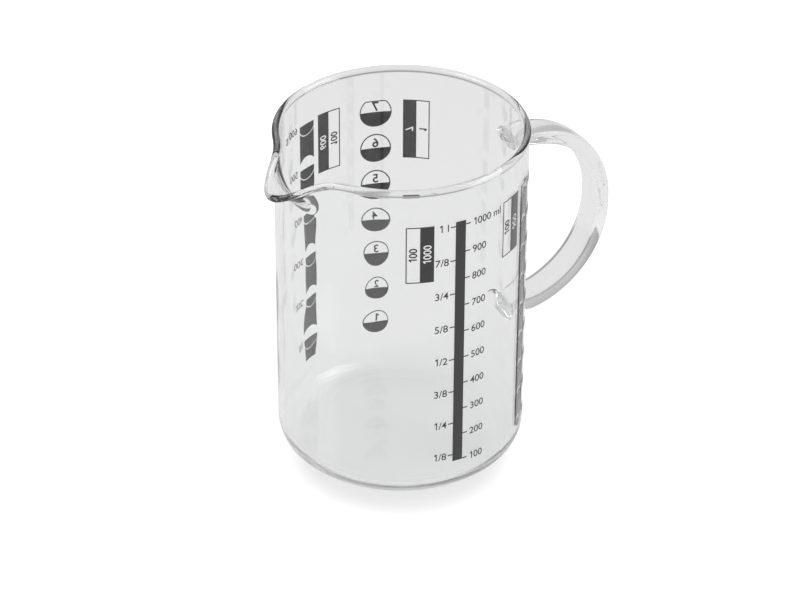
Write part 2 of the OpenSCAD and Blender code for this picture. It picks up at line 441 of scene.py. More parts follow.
def fused_group():
    """1 where glass runs on into glass at the handle's feet, so that no face is seen there:
    on the wall inside each foot's oval, and on the handle's ends that are sunk into the wall."""
    tree = bpy.data.node_groups.new("fused_feet", "ShaderNodeTree")
    tree.interface.new_socket("Radius", in_out="INPUT", socket_type="NodeSocketFloat")
    for label in ("Wall", "Ends"):
        tree.interface.new_socket(label, in_out="OUTPUT", socket_type="NodeSocketFloat")
    radius = Term(tree, tree.nodes.new("NodeGroupInput").outputs["Radius"])
    x, y, z = separated(tree, tree.nodes.new("ShaderNodeTexCoord").outputs["Object"])
    away = (x * x + y * y).by("SQRT")
    inside = 0
    for height, (width, thickness) in ((UPPER_FOOT_Z, UPPER_FOOT), (LOWER_FOOT_Z, LOWER_FOOT)):
        across = y / (width / 2 * MM)
        up = (z - height * MM) / (thickness / 2 * MM)
        inside = (across * across + up * up).by("LESS_THAN", 1.0) + inside
    on_wall = away.by("GREATER_THAN", radius - ON_FACE * MM) * x.by("GREATER_THAN", 0.0)
    ends = away.by("LESS_THAN", radius - SUNK * MM)
    out = tree.nodes.new("NodeGroupOutput")
    tree.links.new((inside * on_wall).socket, out.inputs["Wall"])
    tree.links.new(ends.socket, out.inputs["Ends"])
    return tree


GLASS_COLOUR = (0.988, 0.991, 0.99, 1)
GLASS_SHADE = (0.98, 0.982, 0.981, 1)
GLASS_IOR = 1.47
# Unevenness of each part's glass: its size, its stretch upwards and its depth
BODY_RIPPLES = (22 * MM, 3.0, 0.03 * MM)
HANDLE_RIPPLES = (12 * MM, 2.0, 0.02 * MM)


def glass_material(name, group, ripples, fused, part):
    """Clear glass, a little uneven as blown glass is, that lets the lamps' light through. Its
    face vanishes where the two parts are fused."""
    material, tree, shader, out = new_material(name)
    shader.inputs["Base Color"].default_value = GLASS_COLOUR
    shader.inputs["Metallic"].default_value = 0
    shader.inputs["Roughness"].default_value = 0
    shader.inputs["IOR"].default_value = GLASS_IOR
    shader.inputs["Transmission Weight"].default_value = 1
    size, stretch, depth = ripples
    waves = add_unevenness(tree, group, Size=size, Stretch=stretch, Depth=depth, Detail=1.0)
    tree.links.new(waves.outputs["Normal"], shader.inputs["Normal"])
    path = tree.nodes.new("ShaderNodeLightPath")
    lit = Term(tree, path.outputs["Is Shadow Ray"]).by("MAXIMUM", path.outputs["Is Diffuse Ray"])
    shade = add_node(tree, "ShaderNodeBsdfTransparent", Color=GLASS_SHADE)
    joint = tree.nodes.new("ShaderNodeGroup")
    joint.node_tree = fused
    joint.inputs["Radius"].default_value = WALL_R * MM
    seen = shader
    for factor, other in (
        (lit.socket, shade), (joint.outputs[part], tree.nodes.new("ShaderNodeBsdfTransparent"))
    ):
        mix = tree.nodes.new("ShaderNodeMixShader")
        tree.links.new(factor, mix.inputs[0])
        tree.links.new(seen.outputs[0], mix.inputs[1])
        tree.links.new(other.outputs[0], mix.inputs[2])
        seen = mix
    tree.links.new(seen.outputs[0], out.inputs["Surface"])
    return material


ENAMEL_COLOURS = ((0.018, 0.018, 0.019, 1), (0.027, 0.027, 0.028, 1))
ENAMEL_GRAIN = 0.9
ENAMEL_DEPTH = 0.006
# Roughness where the mottle is least, and what it adds where it is greatest
ENAMEL_ROUGHNESS = 0.25
ENAMEL_ROUGHER = 0.15
COAT_ROUGHNESS = 0.15
COAT_IOR = 1.3


def enamel_material(name, group):
    """Dark grey fired enamel: a thin, slightly mottled and satin film."""
    material, tree, shader, _ = new_material(name)
    mottle = add_unevenness(
        tree, group, Size=ENAMEL_GRAIN * MM, Stretch=1.0, Depth=ENAMEL_DEPTH * MM, Detail=4.0
    )
    shade = tree.nodes.new("ShaderNodeMix")
    shade.data_type = "RGBA"
    for label, colour in zip("AB", ENAMEL_COLOURS):
        shade.inputs[label].default_value = colour
    tree.links.new(mottle.outputs["Pattern"], shade.inputs["Factor"])
    tree.links.new(shade.outputs["Result"], shader.inputs["Base Color"])
    rough = Term(tree, mottle.outputs["Pattern"]) * ENAMEL_ROUGHER + ENAMEL_ROUGHNESS
    tree.links.new(rough.socket, shader.inputs["Roughness"])
    tree.links.new(mottle.outputs["Normal"], shader.inputs["Normal"])
    shader.inputs["Coat Weight"].default_value = 1
    shader.inputs["Coat Roughness"].default_value = COAT_ROUGHNESS
    shader.inputs["Coat IOR"].default_value = COAT_IOR
    return material


# The body: one outline turned round the axis and drawn out into the spout

def arc(centre, radius, start, end, steps):
    """Points of an arc in the outline's plane, angles in degrees from straight out."""
    for i in range(steps + 1):
        a = math.radians(start + (end - start) * i / steps)
        yield centre[0] + radius * math.cos(a), centre[1] + radius * math.sin(a)


def straight(start, end, steps):
    """Points of a straight run, without its end."""
    for i in range(steps):
        t = i / steps
        yield start[0] + (end[0] - start[0]) * t, start[1] + (end[1] - start[1]) * t


def outline_row(r, z, share=0.0, out=0.0, along=0.0, inner=0.0):
    """A point of the outline: its share of the way up the throat, and where it lies from the
    wall's middle line there."""
    return {"r": r, "z": z, "share": share, "out": out, "along": along, "inner": inner}


def throat_rows(out, start, end, steps, inner):
    """Points of one face of the wall between two shares of the throat, both ends included."""
    for i in range(steps + 1):
        share = start + (end - start) * i / steps
        z = SPOUT_FOOT_Z + share * THROAT_H
        yield outline_row(MID_R + out, z, share, out, 0.0, inner)


def bead_rows():
    """The bead round the rim and the small fillets where the wall runs into it."""
    lean = math.degrees(math.asin(FILLET_DROP / (BEAD_R + BEAD_FILLET)))
    outer, inner = (FILLET_OUT, -FILLET_DROP), (-FILLET_OUT, -FILLET_DROP)
    points = list(arc(outer, BEAD_FILLET, 180, 180 - lean, FILLET_STEPS))
    points += list(arc((0, 0), BEAD_R, -lean, 180 + lean, BEAD_STEPS))[1:-1]
    points += list(arc(inner, BEAD_FILLET, lean, 0, FILLET_STEPS))
    for out, along in points:
        yield outline_row(MID_R + out, BEAD_Z + along, 1.0, out, along, 0.0)


def body_rows():
    """The body's outline from the middle of the base round the rim to the middle of the floor."""
    rows = []
    for i in range(FLOOR_STEPS):
        r = PUSH_UP_R * i / FLOOR_STEPS
        lift = PUSH_UP * (1 + math.cos(math.pi * i / FLOOR_STEPS)) / 2
        rows.append(outline_row(r, lift))
    base = straight((PUSH_UP_R, 0), (WALL_R - BASE_R, 0), 2)
    edge = arc((WALL_R - BASE_R, BASE_R), BASE_R, -90, 0, EDGE_STEPS)
    wall = straight((WALL_R, BASE_R), (WALL_R, SPOUT_FOOT_Z), WALL_STEPS)
    rows += [outline_row(*p) for p in [*base, *list(edge)[:-1], *wall]]
    top = 1 - FILLET_DROP / THROAT_H
    rows += list(throat_rows(WALL / 2, 0, top, THROAT_STEPS, 0.0))[:-1]
    rows += list(bead_rows())
    rows += list(throat_rows(-WALL / 2, top, 0, THROAT_STEPS, 1.0))[1:]
    inside = straight((CAVITY_R, SPOUT_FOOT_Z), (CAVITY_R, FLOOR_T + FLOOR_R), WALL_STEPS)
    rows += [outline_row(*p, inner=1.0) for p in list(inside)[1:]]
    corner = arc((CAVITY_R - FLOOR_R, FLOOR_T + FLOOR_R), FLOOR_R, 0, -90, EDGE_STEPS)
    rows += [outline_row(*p, inner=WAVES_AT_EDGE) for p in corner]
    floor = straight((CAVITY_R - FLOOR_R, FLOOR_T), (0, FLOOR_T), FLOOR_STEPS)
    rows += [outline_row(*p, inner=WAVES_ON_FLOOR) for p in list(floor)[1:]]
    rows.append(outline_row(0, FLOOR_T))
    for row in rows:
        for label in ("r", "z", "out", "along"):
            row[label] *= MM
    return rows


def body_tree():
    """Turns the outline's rows round the axis, and draws the wall out into the spout."""
    tree, given = new_geometry_tree(
        "blown_body", "Spout Angle", "Spout Spread", "Reach", "Dip", "Throat Height",
        "Narrowing", "Foot Narrowing", "Dipping", "Flaring", "Waviness", "Wave Angle"
    )
    grid, round_share, read = rows_grid(tree, given["Geometry"], BODY_AROUND)
    angle = round_share * (2 * math.pi)
    # The angle from the spout's middle, wrapped to half a turn either way
    away = (angle - given["Spout Angle"] + 3 * math.pi).by("FLOORED_MODULO", 2 * math.pi) - math.pi
    within = away.by("ABSOLUTE").by("MINIMUM", given["Spout Spread"]) / given["Spout Spread"]
    bell = ((within * math.pi).by("COSINE") + 1) / 2
    share = read("share")
    kept = given["Foot Narrowing"]
    reach = given["Reach"] * bell ** (given["Narrowing"] * (kept + (1 - kept) * share))
    dip = given["Dip"] * bell ** given["Dipping"]
    # The direction of the wall's middle line there
    run = reach * given["Flaring"] * share ** (given["Flaring"] - 1)
    rise = given["Throat Height"] - dip
    length = (run * run + rise * rise).by("SQRT")
    run, rise = run / length, rise / length
    out, along = read("out"), read("along")
    r = read("r") + reach * share ** given["Flaring"] + out * (rise - 1) + along * run
    z = read("z") - dip * share - out * run + along * (rise - 1)
    # Slow waves of the inner face, deepest on one side
    place = combined(
        tree, angle.by("COSINE") * WAVES_ROUND, angle.by("SINE") * WAVES_ROUND, z * WAVES_UP
    )
    waves = add_node(tree, "ShaderNodeTexNoise", Vector=place, Scale=1.0, Detail=1.0)
    side = ((angle - given["Wave Angle"]).by("COSINE") + 1) / 2
    depth = given["Waviness"] * (side ** WAVE_FOCUS + WAVES_ALL_ROUND) * read("inner")
    r = r + (Term(tree, waves.outputs[0]) - 0.5) * depth
    position = combined(tree, r * angle.by("COSINE"), r * angle.by("SINE"), z)
    joined_rows(tree, grid, position, given["Material"])
    return tree


def make_body(material):
    piece = grown(
        "clear_body", rows_mesh("body_outline", body_rows()), body_tree(), material,
        Spout_Angle=math.radians(SPOUT_ANGLE), Spout_Spread=math.radians(SPOUT_SPREAD),
        Reach=SPOUT_REACH * MM, Dip=SPOUT_DIP * MM, Throat_Height=THROAT_H * MM,
        Narrowing=NARROWING, Foot_Narrowing=FOOT_NARROWING, Dipping=DIPPING, Flaring=FLARING,
        Waviness=WAVINESS * MM, Wave_Angle=math.radians(WAVE_ANGLE)
    )
    turn_outwards(piece.data)
    smooth(piece.data)
    return piece


# The handle: a flattened oval swept along the bow, flared where it is fused to the wall

def foot_extra(distance, foot):
    """How much wider and thicker, either way, a foot is at a distance from the wall."""
    share = max(0.0, 1 - max(0.0, distance) / FOOT_RUN) ** 2
    return share * (foot[0] - HANDLE_W) / 2, share * (foot[1] - HANDLE_T) / 2


def bend(middle, start, turn):
    """Points of a quarter turn of the bow, and the way that the handle faces at each."""
    x, z, radius = middle
    for i, point in enumerate(arc((x, z), radius, start, start - 90, BEND_STEPS)):
        yield point, turn + 90 * i / BEND_STEPS


def handle_rows():
    """The rows of the handle from the upper foot to the lower one: the middle of each, the way
    it faces, and its share of an oval. The first and last rows close the ends."""
    ux, uz, ur = UPPER_BEND
    lx, lz, lr = LOWER_BEND
    ends = [WALL_R - FUSED]
    ends += [WALL_R + FOOT_RUN * i / FOOT_STEPS for i in range(FOOT_STEPS + 1)]
    path = [((x, uz + ur), 0) for x in ends if x < ux]
    path += list(bend(UPPER_BEND, 90, 0))
    path += [(p, 90) for p in list(straight((ux + ur, uz), (lx + lr, lz), 3))[1:]]
    path += list(bend(LOWER_BEND, 0, 90))
    path += [((x, lz - lr), 180) for x in reversed(ends) if x < lx]
    lengths = [0.0]
    for (a, _), (b, _) in zip(path, path[1:]):
        lengths.append(lengths[-1] + math.dist(a, b))
    rows = []
    for (point, turn), s in zip(path, lengths):
        upper, lower = s - FUSED, lengths[-1] - s - FUSED
        wider, thicker = max(foot_extra(upper, UPPER_FOOT), foot_extra(lower, LOWER_FOOT))
        hug = max(0.0, 1 - min(upper, lower) / HUG_RUN)
        rows.append({
            "x": point[0] * MM, "z": point[1] * MM, "turn": math.radians(turn),
            "wider": wider * MM, "thicker": thicker * MM, "hug": min(1.0, hug), "close": 1.0
        })
    first = [dict(rows[0], close=i / CAP_STEPS) for i in range(CAP_STEPS)]
    last = [dict(rows[-1], close=i / CAP_STEPS) for i in reversed(range(CAP_STEPS))]
    return first + rows + last


def handle_tree():
    """Sweeps the section through the rows, and fits its ends to the round wall."""
    tree, given = new_geometry_tree(
        "bow_sweep", "Thickness", "Width", "End Radius", "Outer Roundness", "Inner Roundness"
    )
    grid, round_share, read = rows_grid(tree, given["Geometry"], HANDLE_AROUND)
    around = round_share * (2 * math.pi)
    turn, close = read("turn"), read("close")
    cosine, sine = around.by("COSINE"), around.by("SINE")
    outer, inner = given["Outer Roundness"], given["Inner Roundness"]
    roundness = outer + (inner - outer) * cosine.by("LESS_THAN", 0.0)
    roundness = roundness + (1 - roundness) * read("hug")
    cosine = cosine.by("SIGN") * cosine.by("ABSOLUTE") ** roundness
    sine = sine.by("SIGN") * sine.by("ABSOLUTE") ** roundness
    up = (given["Thickness"] / 2 + read("thicker")) * close * cosine
    y = (given["Width"] / 2 + read("wider")) * close * sine
    hugging = (given["End Radius"] ** 2 - y * y).by("SQRT") - given["End Radius"]
    x = read("x") + up * turn.by("SINE") + hugging * read("hug")
    z = read("z") + up * turn.by("COSINE")
    joined_rows(tree, grid, combined(tree, x, y, z), given["Material"])
    return tree


def make_handle(material):
    piece = grown(
        "bow_handle", rows_mesh("bow_rows", handle_rows()), handle_tree(), material,
        Thickness=HANDLE_T * MM, Width=HANDLE_W * MM, End_Radius=(WALL_R - FUSED) * MM,
        Outer_Roundness=OUTER_ROUNDNESS, Inner_Roundness=INNER_ROUNDNESS
    )
    turn_outwards(piece.data)
    smooth(piece.data)
    return piece


# The prints: flat shapes in millimetres, x round the wall and z up, laid on the wall afterwards

def anticlockwise(points, face):
    """The corners of a triangle in anticlockwise order."""
    (ax, az), (bx, bz), (cx, cz) = (points[i] for i in face)
    return face if (bx - ax) * (cz - az) > (bz - az) * (cx - ax) else face[::-1]


class Flat:
    """Flat faces of a print, gathered before they are laid on the wall."""

    def __init__(self):
        self.points, self.faces = [], []

    def strip(self, pairs):
        """Faces between pairs of points."""
        start = len(self.points)
        for a, b in pairs:
            self.points += [a, b]
        for i in range(len(pairs) - 1):
            k = start + 2 * i
            self.faces.append((k, k + 2, k + 3, k + 1))
        return self

    def band(self, x0, x1, bottom, top, step=STRIP):
        """Fills between two edges, each a height or a function of x. It stops where they meet."""
        steps = max(1, math.ceil((x1 - x0) / step))
        pairs = []
        for i in range(steps + 1):
            x = x0 + (x1 - x0) * i / steps
            low = bottom(x) if callable(bottom) else bottom
            high = top(x) if callable(top) else top
            pairs.append(((x, low), (x, max(low, high))))
        return self.strip(pairs)

    def ring(self, radius, width, start, end, steps, x=0.0, z=0.0):
        """A thin arc, its radius outside."""
        pairs = []
        for i in range(steps + 1):
            a = math.radians(start + (end - start) * i / steps)
            c, s = math.cos(a), math.sin(a)
            pairs.append(((x + (radius - width) * c, z + (radius - width) * s),
                          (x + radius * c, z + radius * s)))
        return self.strip(pairs)

    def pierced(self, x0, x1, z0, z1, clear):
        """Fills a rectangle in strips, but for the faces of another flat shape."""
        strips = Flat().band(x0, x1, z0, z1)
        first = len(strips.points)
        points = [Vector(p) for p in strips.points + clear.points]
        faces = strips.faces + [
            tuple(first + i for i in anticlockwise(clear.points, face)) for face in clear.faces
        ]
        # 1 asks for the triangles inside the faces
        made, _, cells, _, _, sources = delaunay_2d_cdt(points, [], faces, 1, SEAM)
        start = len(self.points)
        self.points += [tuple(p) for p in made]
        self.faces += [
            tuple(start + i for i in cell) for cell, source in zip(cells, sources)
            if all(k < len(strips.faces) for k in source)
        ]
        return self

    def mesh(self, name):
        made = bpy.data.meshes.new(name)
        made.from_pydata([(x * MM, 0, z * MM) for x, z in self.points], [], self.faces)
        bm = bmesh.new()
        bm.from_mesh(made)
        bmesh.ops.remove_doubles(bm, verts=bm.verts, dist=WELD)
        bmesh.ops.dissolve_degenerate(bm, edges=bm.edges, dist=WELD)
        # Flat faces look out of the wall, towards -y
        for face in bm.faces:
            if face.normal.y > 0:
                face.normal_flip()
        bm.to_mesh(made)
        bm.free()
        return made


def print_tree():
    """Repeats a flat shape up a row, makes it a film and lays it on the wall."""
    tree, given = new_geometry_tree(
        "print_on_wall", "Count", "Pitch", "First Height", "Growth", "Angle", "Radius",
        "Thickness"
    )
    line = add_node(
        tree, "GeometryNodeMeshLine", Count=given["Count"],
        Start_Location=combined(tree, 0.0, 0.0, given["First Height"]),
        Offset=combined(tree, 0.0, 0.0, given["Pitch"])
    )
    order = Term(tree, tree.nodes.new("GeometryNodeInputIndex").outputs[0])
    scale = order * given["Growth"] + 1
    row = add_node(
        tree, "GeometryNodeInstanceOnPoints", Points=line.outputs[0], Instance=given["Geometry"],
        Scale=combined(tree, scale, scale, scale)
    )
    real = add_node(tree, "GeometryNodeRealizeInstances", Geometry=row.outputs[0])
    film = add_node(
        tree, "GeometryNodeExtrudeMesh", {"mode": "FACES"}, Mesh=real.outputs[0],
        Offset_Scale=given["Thickness"], Individual=False
    )
    back = add_node(tree, "GeometryNodeFlipFaces", Mesh=real.outputs[0])
    both = tree.nodes.new("GeometryNodeJoinGeometry")
    tree.links.new(back.outputs[0], both.inputs[0])
    tree.links.new(film.outputs[0], both.inputs[0])
    closed = add_node(
        tree, "GeometryNodeMergeByDistance", Geometry=both.outputs[0], Distance=WELD
    )
    x, y, z = separated(tree, tree.nodes.new("GeometryNodeInputPosition").outputs[0])
    angle = given["Angle"] + x / given["Radius"]
    r = given["Radius"] - y
    laid = add_node(
        tree, "GeometryNodeSetPosition", Geometry=closed.outputs[0],
        Position=combined(tree, r * angle.by("COSINE"), r * angle.by("SINE"), z)
    )
    finish_tree(tree, laid.outputs[0], given["Material"])
    return tree


def joined(name, meshes):
    """One piece from several meshes of the same material."""
    bm = bmesh.new()
    for mesh in meshes:
        bm.from_mesh(mesh)
    result = meshes[0].copy()
    bm.to_mesh(result)
    bm.free()
    piece = add_piece(name, result)
    smooth(piece.data, PRINT_CREASE)
    return piece


class Printer:
    """Lays flat shapes on the wall as pieces of enamel."""

    def __init__(self, material):
        self.material, self.tree = material, print_tree()

    def lay(self, flat, angle, count=1, pitch=0.0, first=0.0, growth=0.0):
        """The mesh of a row of flat shapes on the wall."""
        piece = grown(
            "print", flat.mesh("flat"), self.tree, self.material, Count=count,
            Pitch=pitch * MM, First_Height=first * MM, Growth=growth,
            Angle=math.radians(angle), Radius=PRINT_R * MM, Thickness=PRINT_T * MM
        )
        mesh = piece.data
        bpy.data.objects.remove(piece)
        return mesh

    def piece(self, name, *rows):
        return joined(name, [self.lay(**row) for row in rows])


def half_circle(radius, side):
    """A function of x: the height of a circle's upper or lower half, or 0 outside it."""
    def height(x):
        return side * math.sqrt(max(0.0, radius ** 2 - x ** 2))
    return height


def dry_bar_rows(angle, first, pitch, count, moon_r):
    """A bar with a half moon left clear at each mark, as rows of flat shapes."""
    half = DRY_BAR_W / 2
    clear = half_circle(moon_r, 1)
    kept = half_circle(moon_r - LINE_W, -1)
    within = min(half, moon_r - LINE_W)
    last = first + (count - 1) * pitch
    between = Flat().band(-half, half, clear, lambda x: pitch - clear(x), CURVE_STRIP)
    moon = Flat().band(-within, within, kept, 0.0, CURVE_STRIP)
    foot = Flat().band(-half, half, PRINT_FOOT, lambda x: first - clear(x), CURVE_STRIP)
    top = Flat().band(-half, half, lambda x: last + clear(x), PRINT_TOP, CURVE_STRIP)
    return [
        {"flat": between, "angle": angle, "count": count - 1, "pitch": pitch, "first": first},
        {"flat": moon, "angle": angle, "count": count, "pitch": pitch, "first": first},
        {"flat": foot, "angle": angle},
        {"flat": top, "angle": angle},
    ]


def cup_flat(radius, ceiling=None):
    """A cup mark: filled below its level line, a thin outline above, cut flat at the ceiling."""
    flat = Flat()
    flat.strip([((x, z), (x, 0.0)) for x, z in arc((0, 0), radius, 180, 360, CUP_FILL_STEPS)])
    if ceiling is None:
        return flat.ring(radius, LINE_W, 0, 180, CUP_LINE_STEPS)
    reach = math.asin(min(1.0, ceiling / radius))
    flat.ring(radius, LINE_W, 0, math.degrees(reach), CUT_LINE_STEPS)
    flat.ring(radius, LINE_W, 180 - math.degrees(reach), 180, CUT_LINE_STEPS)
    side = (radius - LINE_W) * math.cos(reach)
    return flat.band(-side, side, ceiling - LINE_W, ceiling)


def frame_flat(panel_h, least, most):
    """A label panel: its left half framed round the scale's least number, its right half filled
    but for the scale's greatest."""
    low, half = PRINT_TOP - panel_h, PANEL_W / 2
    middle = (low + PRINT_TOP) / 2
    flat = Flat()
    flat.band(-half, -half + LINE_W, low, PRINT_TOP)
    flat.band(-half + LINE_W, 0.0, low, low + LINE_W)
    flat.band(-half + LINE_W, 0.0, PRINT_TOP - LINE_W, PRINT_TOP)
    add_text(flat, least, -half / 2, middle, PANEL_DIGIT_H, "CENTER", False, BOLD)
    clear = add_text(Flat(), most, half / 2, middle, PANEL_DIGIT_H, "CENTER", False, BOLD)
    return flat.pierced(0.0, half, low, PRINT_TOP, clear)


# Lettering: plain numbers of the scales

# Height of a figure and sizes of the figure 1, for letters of size 1
FIGURE_H = 0.729
STEM_W = 0.09
FLAG_REACH = 0.14
FLAG_DROP = 0.13
FLAG_H = 0.16


def figure_one(bm, left, right, weight):
    """A figure 1 with a clear flag, in place of the narrow one between two edges."""
    stem = STEM_W + weight
    edge = (left + right + FLAG_REACH - stem) / 2
    far, top = edge - FLAG_REACH, FIGURE_H
    corners = [bm.verts.new((x, z, 0)) for x, z in (
        (edge, 0), (edge + stem, 0), (edge + stem, top), (edge, top), (edge, top - FLAG_H - weight),
        (far, top - FLAG_DROP), (far, top - FLAG_DROP - stem)
    )]
    bm.faces.new(corners[:5])
    bm.faces.new([corners[i] for i in (4, 3, 5, 6)])


def islands(bm):
    """The vertices of each figure, from left to right."""
    found, seen = [], set()
    for vert in bm.verts:
        if vert in seen:
            continue
        group, edge = {vert}, [vert]
        while edge:
            for link in edge.pop().link_edges:
                for near in link.verts:
                    if near not in group:
                        group.add(near)
                        edge.append(near)
        seen |= group
        found.append(group)
    return sorted(found, key=lambda group: min(v.co.x for v in group))


def text_mesh(body, height, align, upright, weight):
    """Flat figures at the origin, as high as given in millimetres, upright or read upwards."""
    curve = bpy.data.curves.new("figures", "FONT")
    curve.body = body
    curve.size = 1
    curve.align_x = align
    curve.offset = weight / 2
    holder = bpy.data.objects.new("figures", curve)
    bpy.context.scene.collection.objects.link(holder)
    seen = holder.evaluated_get(bpy.context.evaluated_depsgraph_get())
    mesh = bpy.data.meshes.new_from_object(seen)
    bpy.data.objects.remove(holder)
    scale = height / FIGURE_H
    bm = bmesh.new()
    bm.from_mesh(mesh)
    for figure, group in zip(body.replace(" ", ""), islands(bm)):
        if figure == "1":
            left, right = min(v.co.x for v in group), max(v.co.x for v in group)
            bmesh.ops.delete(bm, geom=list(group), context="VERTS")
            figure_one(bm, left, right, weight)
    bmesh.ops.translate(bm, verts=bm.verts, vec=(0, -FIGURE_H / 2, 0))
    bmesh.ops.scale(bm, verts=bm.verts, vec=(scale, scale, scale))
    if not upright:
        bmesh.ops.rotate(bm, verts=bm.verts, matrix=Matrix.Rotation(math.pi / 2, 3, "Z"))
    return bm


def add_text(flat, body, x, z, height=DIGIT_H, align="LEFT", upright=True, weight=THIN):
    """Adds figures to a flat shape, their middle at the given height, cut into narrow strips
    so that they bend round the wall."""
    bm = text_mesh(body, height, align, upright, weight)
    xs = [v.co.x for v in bm.verts]
    cut = math.floor(min(xs)) + STRIP
    while cut < max(xs):
        bmesh.ops.bisect_plane(
            bm, geom=bm.verts[:] + bm.edges[:] + bm.faces[:], plane_co=(cut, 0, 0),
            plane_no=(1, 0, 0)
        )
        cut += STRIP
    bmesh.ops.triangulate(bm, faces=bm.faces)
    start = len(flat.points)
    bm.verts.ensure_lookup_table()
    flat.points += [(x + v.co.x, z + v.co.y) for v in bm.verts]
    flat.faces += [tuple(start + v.index for v in f.verts) for f in bm.faces]
    bm.free()
    return flat


def off(angle, from_angle):
    """The way round the wall from one angle to another, in millimetres."""
    return math.radians(angle - from_angle) * PRINT_R


def hundreds(count, unit):
    """The numbers of a scale in steps of 100, with the unit after the last."""
    return [str(100 * i) for i in range(1, count)] + [f"{100 * count} {unit}"]


def add_column(flat, numbers, x, first, pitch, align="LEFT"):
    """Adds a scale's numbers, one beside each mark."""
    for i, number in enumerate(numbers):
        add_text(flat, number, x, first + i * pitch, align=align)


def make_prints(enamel):
    """Every print, by the node that it stands for, and the numbers that have no node."""
    press = Printer(enamel)
    bar = Flat().band(-LITRE_BAR_W / 2, LITRE_BAR_W / 2, LITRE_FIRST_Z - MARK_T / 2, PRINT_TOP)
    mark = Flat().band(-MARK_W / 2, MARK_W / 2, -MARK_T / 2, MARK_T / 2, MARK_STRIP)
    step = math.degrees((LITRE_BAR_W + MARK_W) / 2 / PRINT_R)
    pieces = {
        "litre_bar": press.piece("print_litre_bar", {"flat": bar, "angle": LITRE_ANGLE}),
        "millilitre_marks": press.piece("print_millilitre_marks", {
            "flat": mark, "angle": LITRE_ANGLE + step, "count": LITRE_MARKS,
            "pitch": LITRE_PITCH, "first": LITRE_FIRST_Z}),
        "fraction_marks": press.piece("print_fraction_marks", {
            "flat": mark, "angle": LITRE_ANGLE - step, "count": len(FRACTIONS),
            "pitch": FRACTION_PITCH, "first": FRACTION_FIRST_Z}),
        "sugar_bar": press.piece(
            "print_sugar_bar",
            *dry_bar_rows(SUGAR_ANGLE, SUGAR_FIRST_Z, SUGAR_PITCH, SUGAR_MARKS, SUGAR_MOON_R)),
        "flour_bar": press.piece(
            "print_flour_bar",
            *dry_bar_rows(FLOUR_ANGLE, FLOUR_FIRST_Z, FLOUR_PITCH, FLOUR_MARKS, FLOUR_MOON_R)),
        "cup_marks": press.piece(
            "print_cup_marks",
            {"flat": cup_flat(FIRST_CUP_R), "angle": CUP_ANGLE, "count": CUPS - 1,
             "pitch": CUP_PITCH, "first": CUP_FIRST_Z, "growth": CUP_GROWTH},
            {"flat": cup_flat(LAST_CUP_R, PRINT_TOP - LAST_CUP_Z), "angle": CUP_ANGLE,
             "first": LAST_CUP_Z}),
    }
    for name, (angle, height, least, most) in PANELS.items():
        flat = frame_flat(height, least, most)
        pieces[name] = press.piece("print_" + name, {"flat": flat, "angle": angle})

    litre, sugar, flour, cup = Flat(), Flat(), Flat(), Flat()
    add_column(litre, hundreds(LITRE_MARKS, "ml"), off(LITRE_FIGURES, LITRE_ANGLE),
               LITRE_FIRST_Z, LITRE_PITCH)
    add_column(litre, FRACTIONS, off(FRACTION_FIGURES, LITRE_ANGLE), FRACTION_FIRST_Z,
               FRACTION_PITCH, "RIGHT")
    add_column(sugar, hundreds(SUGAR_MARKS, "g"), off(SUGAR_FIGURES, SUGAR_ANGLE),
               SUGAR_FIRST_Z, SUGAR_PITCH)
    add_column(flour, hundreds(FLOUR_MARKS, "g"), off(FLOUR_FIGURES, FLOUR_ANGLE),
               FLOUR_FIRST_Z, FLOUR_PITCH)
    for i in range(CUPS):
        size = CUP_DIGIT_H * (1 + i * CUP_GROWTH)
        add_text(cup, str(i + 1), 0.0, CUP_FIRST_Z + i * CUP_PITCH + size * CUP_FIGURE_RISE,
                 size, "CENTER", weight=BOLD)
    figures = [press.piece(name, {"flat": flat, "angle": angle}) for name, flat, angle in (
        ("litre_figures", litre, LITRE_ANGLE), ("sugar_figures", sugar, SUGAR_ANGLE),
        ("flour_figures", flour, FLOUR_ANGLE), ("cup_figures", cup, CUP_ANGLE),
    )]
    return pieces, figures


# The stage: floor, light, background and camera

STAGE_COLOUR = 0.8
STAGE_R = 3.0
STAGE_SIDES = 96
# Glow of the floor: the rays that see it, the two distances that it fades between, in metres,
# and its strength at each. The first fade lies nearer on the shadow's side, and its weak glow near
# the object is painted shade round the base, on top of the real shadow.
SHADOW_SIDE = -120
SHADOW_LEAN = 0.3
PAINTED_SHADE_GLOW = ("camera", 0.036, 0.05, 0.14, 0.42)
BACKDROP_GLOW = ("camera", 0.14, 0.4, 0.0, 0.58)
GLASS_GLOW = ("through", 0.3, 1.2, 0.11, 0.05)
# The room that glass and gloss show: its strength low and high up, and between which heights it
# goes from one to the other, how much it swings from side to side, and where it is lightest
HORIZON = 0.5
OVERHEAD = 0.72
LOW, HIGH = 0.1, 0.6
ROOM_SWING = 0.51
ROOM_BRIGHT = 0
# The strength of the light that falls from all round
ROOM_LIGHT = 0.55
# The lamps: place, size, power, and whether glass is seen through to them or only mirrors them
LAMPS = {
    "soft_box_left": ((-1.3, 0.3, 1.3), 1.0, 16, False),
    "soft_box_right": ((1.2, -0.8, 1.4), 1.0, 10, True),
}
LAMP_TARGET = Vector((0, 0, 0.07))


def ray_terms(tree):
    """1 for the camera's own rays, and 1 for those that glass and gloss show."""
    path = tree.nodes.new("ShaderNodeLightPath")
    glossy = Term(tree, path.outputs["Is Glossy Ray"])
    through = glossy.by("MAXIMUM", path.outputs["Is Transmission Ray"])
    camera = Term(tree, path.outputs["Is Camera Ray"])
    return camera, through * (1 - camera)


